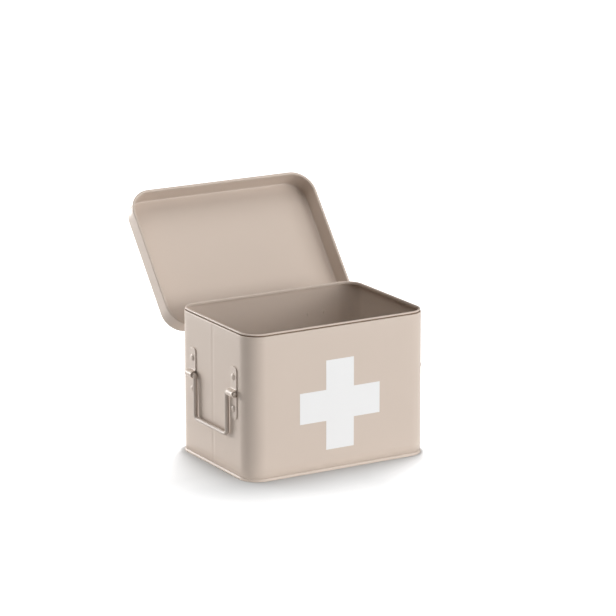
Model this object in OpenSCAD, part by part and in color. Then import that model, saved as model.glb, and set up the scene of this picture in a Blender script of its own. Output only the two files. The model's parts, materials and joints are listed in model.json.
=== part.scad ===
// Sheet steel medicine box with a hinged slip-over lid and a bail handle on each side.
// X runs along the front, Y runs to the back and Z is up. The origin is on the ground, under
// the middle of the front wall's outer face. The modules draw the box about its own middle,
// and the lid is drawn shut and then swung open about its hinge pins.

/* [Body] */
// Width of the body along the front
body_w = 210; // [180:1:300]
// Depth of the body from front to back
body_d = 148.5; // [142:0.5:220]
// Height of the body from the ground to the top of its rolled rim
body_h = 152.6; // [140:0.2:220]
// Outer radius of the body's upright corners
corner_r = 20; // [14:0.5:23]
// Thickness of the sheet that the body, the base and the lid are pressed from
sheet_t = 0.7; // [0.5:0.05:0.9]

/* [Body rim] */
// Diameter of the roll round the body's top edge
rim_roll_d = 2.4; // [2:0.1:3]
// How far the roll stands back from the wall's outer face
rim_setback = 0.8; // [0.5:0.1:1.5]
// Radius of the wall's shoulder below the roll
shoulder_r = 1.0; // [0.8:0.1:1.6]
// Width of the dark groove between the shoulder and the roll
rim_groove = 0.7; // [0.2:0.1:1]

/* [Lock seam] */
// Width of the shallow channel that the lock seam leaves outside the left wall
seam_w = 5; // [3:0.5:8]
// Depth of that channel
seam_depth = 0.3; // [0.1:0.05:0.35]
// Width of the folded seam inside the wall
seam_fold_w = 9; // [6:0.5:12]
// How far the folded seam stands into the box
seam_fold_t = 1.4; // [0.7:0.1:2]

/* [Base] */
// Height of the double seam that joins the base to the wall
base_seam_h = 3.0; // [2.5:0.1:5]
// Height over which the seam's top leans in to the wall
base_seam_crimp = 1.4; // [0.8:0.1:1.5]
// How far the double seam stands out of the wall
base_seam_out = 1.0; // [0.8:0.05:1.6]
// Height of the floor's underside above the ground
floor_z = 2.3; // [1.5:0.1:3]
// Clearance between the wall and the double seam
seam_gap = 0.05; // [0.02:0.01:0.1]

/* [Cross] */
// Overall height and width of the cross on the front
cross_size = 93.5; // [60:0.5:110]
// Width of each arm of the cross
cross_arm = 32.4; // [15:0.2:40]
// Height of the cross's middle above the ground
cross_z = 69.1; // [60:0.1:90]
// Thickness of the cross
cross_t = 0.25; // [0.1:0.05:0.6]

/* [Lid] */
// Depth of the lid from its lower edge to the inside of its top
lid_depth = 21.4; // [20:0.1:30]
// Clearance all round between the wall and the inside of the lid's skirt
lid_gap = 2.1; // [1.4:0.1:2.5]
// Clearance between the shut lid and the body's rim
lid_rest_gap = 0.1; // [0.05:0.05:0.5]
// Outer radius of the bend between the lid's top and its skirt
lid_edge_r = 2.5; // [1.5:0.5:6]
// Diameter of the roll round the lid's lower edge
lid_roll_d = 3.0; // [2.6:0.1:4.5]
// Angle by which the lid stands open in the rest position
lid_open = 129.2; // [100:0.2:135]
// Gap left between the open lid's roll and the rear wall
lid_stop_gap = 0.1; // [0.05:0.05:0.4]

/* [Hinges] */
// Distance of each hinge from the bend of the corner next to it
hinge_inset = 8; // [3:0.5:20]
// Width of each hinge
hinge_w = 34; // [28:1:40]
// Radius of the hinge pin
pin_r = 1.0; // [0.8:0.05:1.2]
// Radial clearance of the pin in its knuckles
pin_gap = 0.05; // [0.03:0.01:0.1]
// Thickness of the hinge leaves
leaf_t = 0.6; // [0.5:0.05:0.7]
// Width of the lid leaf's middle knuckle
mid_knuckle_w = 13.4; // [8:0.2:18]
// Gap between the knuckles along the pin, and round them
knuckle_gap = 0.3; // [0.2:0.05:0.6]
// Gap between each side of a hinge and the notch in the lid's roll
notch_gap = 0.5; // [0.3:0.1:1]
// Radius of the leaves' outer corners
leaf_corner_r = 3; // [1:0.5:5]
// Gap between the knuckles and the rear wall
knuckle_wall_gap = 0.1; // [0.05:0.05:0.3]
// Length of the body leaf below the pin
body_leaf_h = 18; // [15:0.5:24]
// Length of the lid leaf above the pin
lid_leaf_h = 15; // [13:0.5:16]
// Distance of the hinge rivets from the pin
hinge_rivet_z = 10; // [8:0.5:11]
// Distance between the two rivets of a leaf
hinge_rivet_pitch = 20; // [14:0.5:24]

/* [Handle brackets] */
// Distance between the middles of a handle's two brackets
bracket_pitch = 85; // [70:0.5:90]
// How far each handle sits in front of the middle of the wall
handle_forward = 1.5; // [0:0.5:3]
// Height of the handle's pivot above the ground
pivot_z = 88; // [75:0.5:100]
// Width of the bracket strap
strap_w = 12.5; // [9:0.5:15]
// Length of the bracket strap
strap_h = 54; // [44:0.5:60]
// Thickness of the bracket strap
strap_t = 1.4; // [1:0.1:1.6]
// Radius of the strap's outer corners
strap_corner_r = 4; // [2:0.5:6]
// Distance of the bracket's rivets above and below the pivot
strap_rivet_z = 16.4; // [13:0.2:19]
// Inner radius of the bend where the strap turns out into its loop
strap_bend_r = 1; // [0.5:0.1:1.2]

/* [Handle bails] */
// Diameter of the bail's rod
rod_d = 4.4; // [3.6:0.1:5]
// Radial clearance of the rod in the bracket's loop
rod_gap = 0.1; // [0.05:0.01:0.1]
// Gap between the hanging rod and the wall
rod_wall_gap = 1.1; // [0.9:0.1:2]
// Play between the bail and its brackets along the pivot
bail_play = 0.3; // [0.2:0.05:1]
// Drop of the bail from its pivot to the middle of its grip
bail_drop = 45.5; // [35:0.5:55]
// Bend radius of the rod where a leg turns out into its bracket
ear_bend_r = 3; // [2.8:0.1:3.2]
// Bend radius of the rod between a leg and the grip
grip_bend_r = 5; // [4:0.5:9]
// How far the rod's end stands out of its bracket
ear_out = 0.8; // [0.6:0.1:1.5]
// Chamfer of the rod's ends
ear_chamfer = 0.5; // [0.2:0.1:0.6]

/* [Rivets] */
// Diameter of the heads of the bracket rivets
rivet_head_d = 7; // [5:0.2:8]
// Height of the heads of the bracket rivets
rivet_head_h = 1.6; // [1:0.1:2.2]
// Diameter of the shanks of the bracket rivets
rivet_shank_d = 3.2; // [2.4:0.1:4]
// Diameter of the heads of the hinge rivets
pop_head_d = 5; // [4:0.2:6]
// Height of the heads of the hinge rivets
pop_head_h = 1.1; // [0.8:0.1:1.5]
// Diameter of the shanks of the hinge rivets
pop_shank_d = 2.4; // [2:0.1:3]
// Thickness of the closed end of each rivet behind the sheet
rivet_tail_h = 0.7; // [0.5:0.05:0.9]
// Radial clearance of the rivet shanks in their holes
rivet_gap = 0.05; // [0.02:0.01:0.1]

/* [Hidden] */
$fn = 64;

paint = [0.81, 0.76, 0.71];
white = [0.95, 0.95, 0.95];
tiny = 0.01;

// Body rim
rim_roll_r = rim_roll_d / 2;
rim_roll_z = body_h - rim_roll_r;
shoulder_z = rim_roll_z - rim_roll_r - rim_groove;
neck_in = rim_setback + rim_roll_d - sheet_t;

// Base
seam_leg_t = base_seam_out - seam_gap;
wall_foot_z = seam_leg_t;

// Lid, as it lies when shut
lid_inside_z = body_h + lid_rest_gap;
lid_top_z = lid_inside_z + sheet_t;
lid_edge_z = lid_inside_z - lid_depth;
lid_roll_r = lid_roll_d / 2;
lid_roll_z = lid_edge_z + lid_roll_r;
lid_out = lid_gap + sheet_t;
lid_w = body_w + 2 * lid_out;
lid_d = body_d + 2 * lid_out;
lid_corner_r = corner_r + lid_out;

// Hinge pin: the open lid's roll comes to rest on the rear wall
knuckle_bore_r = pin_r + pin_gap;
knuckle_r = knuckle_bore_r + leaf_t;
pin_y = body_d / 2 + knuckle_wall_gap + knuckle_r;
roll_dy = body_d / 2 + lid_gap + lid_roll_r - pin_y;
stop_dy = body_d / 2 + lid_roll_r + lid_stop_gap - pin_y;
roll_dz = (stop_dy - roll_dy * cos(lid_open)) / sin(lid_open);
pin_z = lid_roll_z - roll_dz;
leaf_clear = knuckle_r + knuckle_gap;
hinge_x = body_w / 2 - corner_r - hinge_inset - hinge_w / 2;

// Handles
rod_r = rod_d / 2;
rod_out = rod_wall_gap + rod_r;
loop_in_r = rod_r + rod_gap;
loop_out_r = loop_in_r + strap_t;
bracket_y = bracket_pitch / 2;
leg_y = bracket_y - strap_w / 2 - bail_play - ear_bend_r;
ear_y = bracket_y + strap_w / 2 + ear_out;

// A rectangle with round corners, centred
module round_rect(w, d, r) {
    square([w - 2 * r, d], center = true);
    square([w, d - 2 * r], center = true);
    for (sx = [-1, 1], sy = [-1, 1])
        translate([sx * (w / 2 - r), sy * (d / 2 - r)]) circle(r);
}

// Carries a section round a rectangle with round corners.
// The section's x is 0 on the rectangle and grows outwards, and its y is the height.
module sweep_round(w, d, r) {
    for (i = [0:3]) {
        sx = (i == 0 || i == 3) ? 1 : -1;
        sy = i < 2 ? 1 : -1;
        half = i % 2 == 0 ? w / 2 : d / 2;
        run = (i % 2 == 0 ? d : w) - 2 * r;
        translate([sx * (w / 2 - r), sy * (d / 2 - r), 0]) rotate([0, 0, 90 * i])
            rotate_extrude(angle = 90) translate([r, 0]) children();
        rotate([0, 0, 90 * i]) translate([half, 0, 0]) rotate([90, 0, 0])
            linear_extrude(run, center = true) children();
    }
}

// A wedge from angle a to angle b, wider than any roll that it cuts
module wedge(a, b, r) {
    polygon([[0, 0], for (k = [0:4]) let (c = a + (b - a) * k / 4) 3 * r * [cos(c), sin(c)]]);
}

// A rolled edge: a tube that is open between the angles a and b
module roll(r, a, b) {
    difference() {
        circle(r);
        circle(r - sheet_t);
        wedge(a, b, r);
    }
}

// A quarter bend in sheet t thick, from straight out to straight up
module quarter_bend(r, t) {
    intersection() {
        difference() {
            circle(r);
            circle(r - t);
        }
        square(r);
    }
}

// A rivet along +X: domed head outside, shank, and the closed end behind the stack of sheets.
// The stack runs from x = -grip to x = 0.
module rivet(head_d, head_h, shank_d, grip) {
    dome_r = (head_d * head_d / 4 + head_h * head_h) / (2 * head_h);
    rotate([0, 90, 0]) {
        intersection() {
            translate([0, 0, head_h - dome_r]) sphere(dome_r);
            cylinder(h = head_h, d = 2 * head_d);
        }
        translate([0, 0, -grip - tiny]) cylinder(h = grip + 2 * tiny, d = shank_d);
        translate([0, 0, -grip - rivet_tail_h]) cylinder(h = rivet_tail_h, d = shank_d * 1.5);
    }
}

// A rivet's hole along X, through a sheet of thickness t that begins at x = 0
module rivet_hole(shank_d, t) {
    rotate([0, 90, 0]) cylinder(h = 4 * t, d = shank_d + 2 * rivet_gap, center = true);
}

// Puts a right-hand piece on the side that is asked for: 1 is right and -1 is left
module on_side(side) {
    if (side > 0) children();
    else mirror([1, 0, 0]) children();
}

// Swings what is drawn with the lid shut to its open place
module opened() {
    translate([0, pin_y, pin_z]) rotate([-lid_open, 0, 0])
        translate([0, -pin_y, -pin_z]) children();
}

// Places of the rivets
module at_strap_rivets(side, end) {
    on_side(side) for (s = [-1, 1])
        translate([body_w / 2, end * bracket_y - handle_forward, pivot_z + s * strap_rivet_z])
            children();
}

module at_hinge_rivets(side, y, z) {
    for (s = [-1, 1])
        translate([side * hinge_x + s * hinge_rivet_pitch / 2, y, z])
            rotate([0, 0, 90]) children();
}

// Body
module wall_section() {
    translate([-sheet_t, wall_foot_z]) square([sheet_t, shoulder_z - shoulder_r - wall_foot_z]);
    translate([-shoulder_r, shoulder_z - shoulder_r]) quarter_bend(shoulder_r, sheet_t);
    translate([-neck_in - sheet_t, shoulder_z - sheet_t])
        square([neck_in + sheet_t - shoulder_r, sheet_t]);
    translate([-neck_in - sheet_t, shoulder_z - sheet_t])
        square([sheet_t, rim_roll_z - shoulder_z + sheet_t]);
    translate([-neck_in - sheet_t + rim_roll_r, rim_roll_z]) roll(rim_roll_r, 180, 240);
}

module seam_channel() {
    translate([-body_w / 2, 0, 0]) linear_extrude(shoulder_z - shoulder_r)
        polygon([
            [-1, -seam_w / 2 - 1], [0, -seam_w / 2], [seam_depth, -seam_w / 4],
            [seam_depth, seam_w / 4], [0, seam_w / 2], [-1, seam_w / 2 + 1]
        ]);
}

module seam_fold() {
    fold_foot = floor_z + 2 * sheet_t;
    translate([-body_w / 2 + sheet_t - tiny, -seam_fold_w / 2, fold_foot])
        cube([seam_fold_t + tiny, seam_fold_w, shoulder_z - shoulder_r - fold_foot]);
}

module body_wall() {
    color(paint) difference() {
        union() {
            sweep_round(body_w, body_d, corner_r) wall_section();
            seam_fold();
        }
        seam_channel();
        for (side = [-1, 1]) {
            for (end = [-1, 1]) at_strap_rivets(side, end) rivet_hole(rivet_shank_d, sheet_t);
            at_hinge_rivets(side, body_d / 2, pin_z - hinge_rivet_z)
                rivet_hole(pop_shank_d, sheet_t);
        }
    }
}

module base_section() {
    leg_r = seam_leg_t / 2;
    inner = -sheet_t - seam_gap - sheet_t;
    lip_r = leg_r / 2;
    lip_z = base_seam_h - lip_r;
    polygon([
        [seam_gap, leg_r], [base_seam_out, leg_r], [base_seam_out, base_seam_h - base_seam_crimp],
        [seam_gap + 2 * lip_r, lip_z], [seam_gap, lip_z]
    ]);
    translate([seam_gap + lip_r, lip_z]) circle(lip_r);
    intersection() {
        translate([seam_gap + leg_r, leg_r]) circle(leg_r);
        translate([seam_gap + leg_r, 0]) square([leg_r, leg_r]);
    }
    translate([inner, 0]) square([seam_gap + leg_r - inner, seam_leg_t]);
    translate([inner, 0]) square([sheet_t, floor_z + sheet_t]);
}

module base_pan() {
    inset = 1.5 * sheet_t + seam_gap;
    color(paint) {
        sweep_round(body_w, body_d, corner_r) base_section();
        translate([0, 0, floor_z]) linear_extrude(sheet_t)
            round_rect(body_w - 2 * inset, body_d - 2 * inset, corner_r - inset);
    }
}

module front_cross() {
    color(white) translate([0, -body_d / 2, cross_z]) rotate([90, 0, 0])
        linear_extrude(cross_t) {
            square([cross_size, cross_arm], center = true);
            square([cross_arm, cross_size], center = true);
        }
}

// Lid
module lid_section() {
    translate([-sheet_t, lid_roll_z])
        square([sheet_t, lid_top_z - lid_edge_r - lid_roll_z]);
    translate([-lid_edge_r, lid_top_z - lid_edge_r]) quarter_bend(lid_edge_r, sheet_t);
    translate([lid_roll_r - sheet_t, lid_roll_z]) roll(lid_roll_r, 115, 180);
}

module lid_shell() {
    plate_w = lid_w - 2 * lid_edge_r;
    plate_d = lid_d - 2 * lid_edge_r;
    notch_top = max(pin_z + leaf_clear, lid_edge_z + lid_roll_d + tiny);
    color(paint) opened() difference() {
        union() {
            sweep_round(lid_w, lid_d, lid_corner_r) lid_section();
            translate([0, 0, lid_top_z - sheet_t]) linear_extrude(sheet_t)
                round_rect(plate_w, plate_d, lid_corner_r - lid_edge_r);
        }
        for (side = [-1, 1]) {
            translate([
                side * hinge_x - hinge_w / 2 - notch_gap,
                lid_d / 2 - sheet_t - 1, lid_edge_z - 1
            ]) cube([hinge_w + 2 * notch_gap, lid_roll_d + 2, notch_top - lid_edge_z + 1]);
            at_hinge_rivets(side, lid_d / 2, pin_z + hinge_rivet_z)
                rivet_hole(pop_shank_d, sheet_t);
        }
    }
}

// Hinges
module leaf_plate(y, z_near, z_far) {
    low = min(z_near, z_far);
    h = abs(z_far - z_near);
    far = z_far > z_near ? 1 : -1;
    translate([0, y + leaf_t, pin_z]) rotate([90, 0, 0]) linear_extrude(leaf_t) {
        translate([-hinge_w / 2, far > 0 ? low : low + leaf_corner_r])
            square([hinge_w, h - leaf_corner_r]);
        translate([-hinge_w / 2 + leaf_corner_r, low]) square([hinge_w - 2 * leaf_corner_r, h]);
        for (s = [-1, 1])
            translate([s * (hinge_w / 2 - leaf_corner_r), z_far - far * leaf_corner_r])
                circle(leaf_corner_r);
    }
}

// A knuckle of width w, and the strip that joins it to the plate at leaf_y.
// The strip starts at the height z and ends leaf_clear above it.
module knuckle(w, leaf_y, z) {
    difference() {
        union() {
            translate([0, pin_y, pin_z]) rotate([0, 90, 0])
                cylinder(h = w, r = knuckle_r, center = true);
            translate([-w / 2, leaf_y, z]) cube([w, leaf_t, leaf_clear]);
        }
        translate([0, pin_y, pin_z]) rotate([0, 90, 0])
            cylinder(h = w + 1, r = knuckle_bore_r, center = true);
    }
}

module hinge_body_leaf(side) {
    leaf_y = body_d / 2;
    end_w = (hinge_w - mid_knuckle_w) / 2 - knuckle_gap;
    color(paint) difference() {
        translate([side * hinge_x, 0, 0]) {
            leaf_plate(leaf_y, -leaf_clear, -body_leaf_h);
            for (s = [-1, 1]) translate([s * (hinge_w - end_w) / 2, 0, 0])
                knuckle(end_w, leaf_y, pin_z - leaf_clear);
        }
        at_hinge_rivets(side, leaf_y, pin_z - hinge_rivet_z) rivet_hole(pop_shank_d, leaf_t);
    }
}

module hinge_lid_leaf(side) {
    leaf_y = lid_d / 2;
    color(paint) opened() difference() {
        translate([side * hinge_x, 0, 0]) {
            leaf_plate(leaf_y, leaf_clear, lid_leaf_h);
            knuckle(mid_knuckle_w, leaf_y, pin_z);
        }
        at_hinge_rivets(side, leaf_y, pin_z + hinge_rivet_z) rivet_hole(pop_shank_d, leaf_t);
    }
}

module hinge_pin(side) {
    color(paint) translate([side * hinge_x, pin_y, pin_z]) rotate([0, 90, 0])
        cylinder(h = hinge_w, r = pin_r, center = true);
}

module hinge_body_rivets(side) {
    color(paint) at_hinge_rivets(side, body_d / 2 + leaf_t, pin_z - hinge_rivet_z)
        rivet(pop_head_d, pop_head_h, pop_shank_d, leaf_t + sheet_t);
}

module hinge_lid_rivets(side) {
    color(paint) opened() at_hinge_rivets(side, lid_d / 2 + leaf_t, pin_z + hinge_rivet_z)
        rivet(pop_head_d, pop_head_h, pop_shank_d, leaf_t + sheet_t);
}

// Handle brackets: a riveted strap with a loop in its middle for the rod
module strap_section() {
    foot = loop_out_r + strap_bend_r;
    rise = strap_t + strap_bend_r;
    for (s = [0, 1]) mirror([0, s]) {
        translate([0, foot]) square([strap_t, strap_h / 2 - foot]);
        translate([rise, foot]) rotate(180) quarter_bend(rise, strap_t);
        translate([rise, loop_in_r]) square([rod_out - rise, strap_t]);
        translate([rod_out, 0]) quarter_bend(loop_out_r, strap_t);
    }
}

module bracket(side, end) {
    color(paint) on_side(side)
        translate([body_w / 2, end * bracket_y - handle_forward, pivot_z]) difference() {
            intersection() {
                rotate([90, 0, 0]) linear_extrude(strap_w, center = true) strap_section();
                rotate([0, 90, 0]) linear_extrude(2 * (rod_out + loop_out_r), center = true)
                    round_rect(strap_h, strap_w, strap_corner_r);
            }
            for (s = [-1, 1]) translate([0, 0, s * strap_rivet_z])
                rivet_hole(rivet_shank_d, strap_t);
        }
}

module bracket_rivets(side, end) {
    color(paint) at_strap_rivets(side, end) translate([strap_t, 0, 0])
        rivet(rivet_head_d, rivet_head_h, rivet_shank_d, strap_t + sheet_t);
}

// Handle bails: one bent rod with its ends turned outwards into the brackets
module rod(length) {
    cylinder(h = length, r = rod_r);
}

module rod_bend(r) {
    rotate([90, 0, 0]) rotate_extrude(angle = 90) translate([r, 0]) circle(rod_r);
}

module bail_half() {
    leg_foot = -bail_drop + grip_bend_r;
    ear_start = leg_y + ear_bend_r;
    ear_run = ear_y - ear_chamfer - ear_start;
    translate([0, ear_start, 0]) rotate([-90, 0, 0]) {
        rod(ear_run);
        translate([0, 0, ear_run])
            cylinder(h = ear_chamfer, r1 = rod_r, r2 = rod_r - ear_chamfer);
    }
    translate([0, ear_start, -ear_bend_r]) rotate([0, 0, -90]) rod_bend(ear_bend_r);
    translate([0, leg_y, leg_foot]) rod(-ear_bend_r - leg_foot);
    translate([0, leg_y - grip_bend_r, leg_foot]) rotate([0, 0, 90]) rotate([0, 90, 0])
        rod_bend(grip_bend_r);
    translate([0, 0, -bail_drop]) rotate([-90, 0, 0]) rod(leg_y - grip_bend_r);
}

module bail(side) {
    color(paint) on_side(side)
        translate([body_w / 2 + rod_out, -handle_forward, pivot_z]) {
            bail_half();
            mirror([0, 1, 0]) bail_half();
        }
}

translate([0, body_d / 2, 0]) {
    body_wall();
    base_pan();
    front_cross();
    lid_shell();
    hinge_body_leaf(-1);  // left_hinge_body_leaf
    hinge_lid_leaf(-1);  // left_hinge_lid_leaf
    hinge_pin(-1);  // left_hinge_pin
    hinge_body_leaf(1);  // right_hinge_body_leaf
    hinge_lid_leaf(1);  // right_hinge_lid_leaf
    hinge_pin(1);  // right_hinge_pin
    hinge_body_rivets(-1);  // left_hinge_body_rivets
    hinge_body_rivets(1);  // right_hinge_body_rivets
    hinge_lid_rivets(-1);  // left_hinge_lid_rivets
    hinge_lid_rivets(1);  // right_hinge_lid_rivets
    bracket(-1, -1);  // left_front_bracket
    bracket(-1, 1);  // left_rear_bracket
    bracket(1, -1);  // right_front_bracket
    bracket(1, 1);  // right_rear_bracket
    bracket_rivets(-1, -1);  // left_front_rivets
    bracket_rivets(-1, 1);  // left_rear_rivets
    bracket_rivets(1, -1);  // right_front_rivets
    bracket_rivets(1, 1);  // right_rear_rivets
    bail(-1);  // left_bail
    bail(1);  // right_bail
}
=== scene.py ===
# %% [markdown]
# # A pressed steel medicine box
#
# The box is a few sheets of thin steel, painted one warm beige: a wall bent round and locked at
# one seam, a base seamed on below, and a lid that slips over the rim and stands open on two
# hinges. A cross is on the front, and each side has a bail handle in two riveted brackets.
# Blocks with rounded edges would be a quick way to its outline, but they have no rolled rim, no
# seam and no inside. A sheet metal worker draws a section and carries it round a form, and bmesh
# can do the same: a section is traced with a vertex and then spun and pulled into a wall.

# %% Frame and libraries
import json
import math

import bmesh
import bpy
from mathutils import Matrix, Vector

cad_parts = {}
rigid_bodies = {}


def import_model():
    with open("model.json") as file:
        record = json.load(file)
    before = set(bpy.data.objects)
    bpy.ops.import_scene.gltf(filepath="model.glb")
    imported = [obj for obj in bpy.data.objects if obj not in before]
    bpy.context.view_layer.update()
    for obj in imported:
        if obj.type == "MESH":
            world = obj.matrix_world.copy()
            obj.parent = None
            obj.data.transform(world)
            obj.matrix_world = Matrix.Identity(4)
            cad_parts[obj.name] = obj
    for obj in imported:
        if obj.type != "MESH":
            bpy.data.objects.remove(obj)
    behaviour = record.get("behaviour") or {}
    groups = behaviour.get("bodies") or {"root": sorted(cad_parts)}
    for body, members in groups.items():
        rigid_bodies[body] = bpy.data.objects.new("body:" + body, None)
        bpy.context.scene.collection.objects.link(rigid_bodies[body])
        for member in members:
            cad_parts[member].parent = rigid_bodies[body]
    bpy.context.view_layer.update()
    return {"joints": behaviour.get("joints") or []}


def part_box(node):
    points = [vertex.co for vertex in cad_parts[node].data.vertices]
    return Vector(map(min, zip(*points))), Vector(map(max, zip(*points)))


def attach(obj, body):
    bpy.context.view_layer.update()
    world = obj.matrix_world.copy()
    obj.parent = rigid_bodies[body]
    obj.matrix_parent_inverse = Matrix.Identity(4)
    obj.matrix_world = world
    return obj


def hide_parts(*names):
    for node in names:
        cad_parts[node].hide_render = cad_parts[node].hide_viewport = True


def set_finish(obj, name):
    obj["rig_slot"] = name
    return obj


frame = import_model()

# %% [markdown]
# ## Sizes
#
# Pieces fit each other when they take their sizes from one place. The main sizes come from the
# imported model, so each piece here lies where its solid lies. Only the sizes of bends and rolls,
# which a box of corner points can't tell, are written out. Blender counts in metres, and MM lets
# a size be written in millimetres.

# %% Sizes from the model
MM = 0.001
WELD = 0.01 * MM
X_AXIS, Y_AXIS, Z_AXIS = (1, 0, 0), (0, 1, 0), (0, 0, 1)
SIDES = ("left", "right")
joints = {joint["name"]: joint for joint in frame["joints"]}

wall_low, wall_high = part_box("body_wall")
BODY_W = wall_high.x - wall_low.x
BODY_D = wall_high.y - wall_low.y
BODY_H = wall_high.z
MID_Y = (wall_low.y + wall_high.y) / 2
CORNER_R = 20 * MM
SHEET_T = 0.7 * MM
HALF_T = SHEET_T / 2

PIN = Vector(joints["lid_hinge"]["pos_m"])
LID_OPEN = math.radians(joints["lid_hinge"]["range_deg"][1])
print(f"body {BODY_W / MM:.1f} x {BODY_D / MM:.1f} x {BODY_H / MM:.1f} mm, "
      f"lid open by {math.degrees(LID_OPEN):.1f} degrees")

# %% [markdown]
# ## Tracing and bending
#
# A sheet is straight runs and round bends, and so is a bent rod. Spin does both: with an angle
# it makes a bend, and with only a step it makes a straight run. Each call hands back the front
# that it moved, and the next call carries on from there. A list of points would give the same
# section, but it wouldn't say where each bend lies and how round it is.

# %% Runs and turns
def moved_front(made, kind):
    return [part for part in made["geom_last"] if isinstance(part, kind)]


def turn(bm, front, centre, axis, degrees, steps):
    made = bmesh.ops.spin(
        bm, geom=front, cent=centre, axis=axis, dvec=(0, 0, 0),
        angle=math.radians(degrees), steps=steps, use_merge=False, use_duplicate=False,
    )
    return moved_front(made, type(front[0]))


def run(bm, front, way, steps=1):
    made = bmesh.ops.spin(
        bm, geom=front, cent=(0, 0, 0), axis=Z_AXIS, dvec=Vector(way) / steps,
        angle=0, steps=steps, use_merge=False, use_duplicate=False,
    )
    return moved_front(made, type(front[0]))


# %% [markdown]
# ### From a bmesh to a piece
#
# A mesh shows once an object holds it. Each piece also says which body of the model it rides on
# and which material slot it takes its finish from, and the solids that it stands for are hidden.
# Sheet is modelled as a surface, and a Solidify modifier gives it its thickness at the end, so
# that there is one layer of points to shape and not two. Real edges are never quite sharp, and a
# Bevel modifier eases them, because only an edge that is a little round catches the light.

# %% Pieces, sheets and eased edges
SHARP_ANGLE = math.radians(40)


def piece(name, bm, body, slot, nodes=()):
    bmesh.ops.recalc_face_normals(bm, faces=bm.faces[:])
    mesh = bpy.data.meshes.new(name)
    bm.to_mesh(mesh)
    bm.free()
    for face in mesh.polygons:
        face.use_smooth = True
    mesh.set_sharp_from_angle(angle=SHARP_ANGLE)
    obj = bpy.data.objects.new(name, mesh)
    bpy.context.scene.collection.objects.link(obj)
    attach(obj, body)
    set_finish(obj, slot)
    if nodes:
        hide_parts(*nodes)
    print(f"{name}: {len(mesh.polygons)} faces")
    return obj


def give_sheet(obj, thickness=SHEET_T):
    """Gives a surface the thickness of its sheet, half of it to each side."""
    solidify = obj.modifiers.new("sheet", "SOLIDIFY")
    solidify.thickness = thickness
    solidify.offset = 0
    solidify.use_even_offset = True


def ease_edges(obj, width, segments=2):
    bevel = obj.modifiers.new("eased_edges", "BEVEL")
    bevel.width = width
    bevel.segments = segments
    bevel.limit_method = "ANGLE"
    bevel.angle_limit = SHARP_ANGLE
    bevel.harden_normals = True


# %% [markdown]
# ### Sections carried round the box
#
# Wall, base and lid all follow the same rounded rectangle, seen from above. Their sections are
# traced over the middle of the left wall, where u is the distance out of the wall's outer face,
# and are then pulled along each side and spun round each corner, back to where they began.

# %% Tracing a section and carrying it round
CORNER_STEPS = 20
SIDE_STEPS = 12
STRAIGHT_X = BODY_W / 2 - CORNER_R
STRAIGHT_Y = BODY_D / 2 - CORNER_R


def at(u, z):
    return Vector((-BODY_W / 2 - u, MID_Y, z))


def start_section(u, z):
    bm = bmesh.new()
    return bm, [bm.verts.new(at(u, z))]


def rise(bm, front, height, steps=1):
    return run(bm, front, (0, 0, height), steps)


def run_in(bm, front, distance, steps=1):
    return run(bm, front, (distance, 0, 0), steps)


def bend(bm, front, u, z, degrees, steps):
    """Turns the section about (u, z). Seen along the front wall to the left, a positive
    bend takes a rising sheet inwards."""
    return turn(bm, front, at(u, z), Y_AXIS, degrees, steps)


def carry_round(bm, ring_places):
    """Carries the traced section round the box. ring_places say where the first and the last
    run, each half a side long, get their rings, in shares of that run."""
    front = bm.edges[:]
    places = [0.0, *ring_places]
    for a, b in zip(places, places[1:]):
        front = run(bm, front, (0, -(b - a) * STRAIGHT_Y, 0))
    sides = (
        ((-1, -1), (2 * STRAIGHT_X, 0, 0)),
        ((1, -1), (0, 2 * STRAIGHT_Y, 0)),
        ((1, 1), (-2 * STRAIGHT_X, 0, 0)),
    )
    for (right, back), way in sides:
        corner = (right * STRAIGHT_X, MID_Y + back * STRAIGHT_Y, 0)
        front = turn(bm, front, corner, Z_AXIS, 90, CORNER_STEPS)
        front = run(bm, front, way, SIDE_STEPS)
    corner = (-STRAIGHT_X, MID_Y + STRAIGHT_Y, 0)
    front = turn(bm, front, corner, Z_AXIS, 90, CORNER_STEPS)
    places.reverse()
    for a, b in zip(places, places[1:]):
        front = run(bm, front, (0, -(a - b) * STRAIGHT_Y, 0))
    bmesh.ops.remove_doubles(bm, verts=bm.verts[:], dist=WELD)


def fill_loop(bm, z):
    """Fills the open loop of edges that lies at height z with one face."""
    loop = [
        e for e in bm.edges
        if e.is_boundary and all(abs(v.co.z - z) < 2 * WELD for v in e.verts)
    ]
    return bmesh.ops.contextual_create(bm, geom=loop)["faces"]


# %% [markdown]
# ## Wall
#
# The real wall is one strip of sheet. Its top edge steps in at a rounded shoulder, stands up in
# a short neck and rolls outwards, and the gap below the roll shows as a fine dark line. The roll
# takes the sharp edge away and stiffens the rim. It is traced as it is bent, with no solid tube
# laid on the edge, so the gap below it and the hollow in it are real. Extra rings beside the
# middle of the left wall let it follow the lock seam there.

# %% Wall section
ROLL_R = 1.05 * MM
ROLL_TURN = -300
ROLL_SETBACK = 0.6 * MM
SHOULDER_R = 1.0 * MM
GROOVE = 0.7 * MM
NECK_BEND_R = 0.4 * MM
WALL_FOOT_Z = wall_low.z
SEAM_RINGS = [away * MM for away in (0.5, 1.25, 1.8, 2.5, 3.2, 4.4, 4.9, 5.6, 8)]
PANEL_RINGS = [0.3, 0.45, 0.6, 0.75, 0.9, 1.0]

roll_z = BODY_H - ROLL_R
shoulder_z = roll_z - ROLL_R - GROOVE
neck_u = -ROLL_SETBACK - 2 * ROLL_R + HALF_T
roll_u = neck_u - HALF_T + ROLL_R
wall_top_z = shoulder_z - SHOULDER_R

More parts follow.
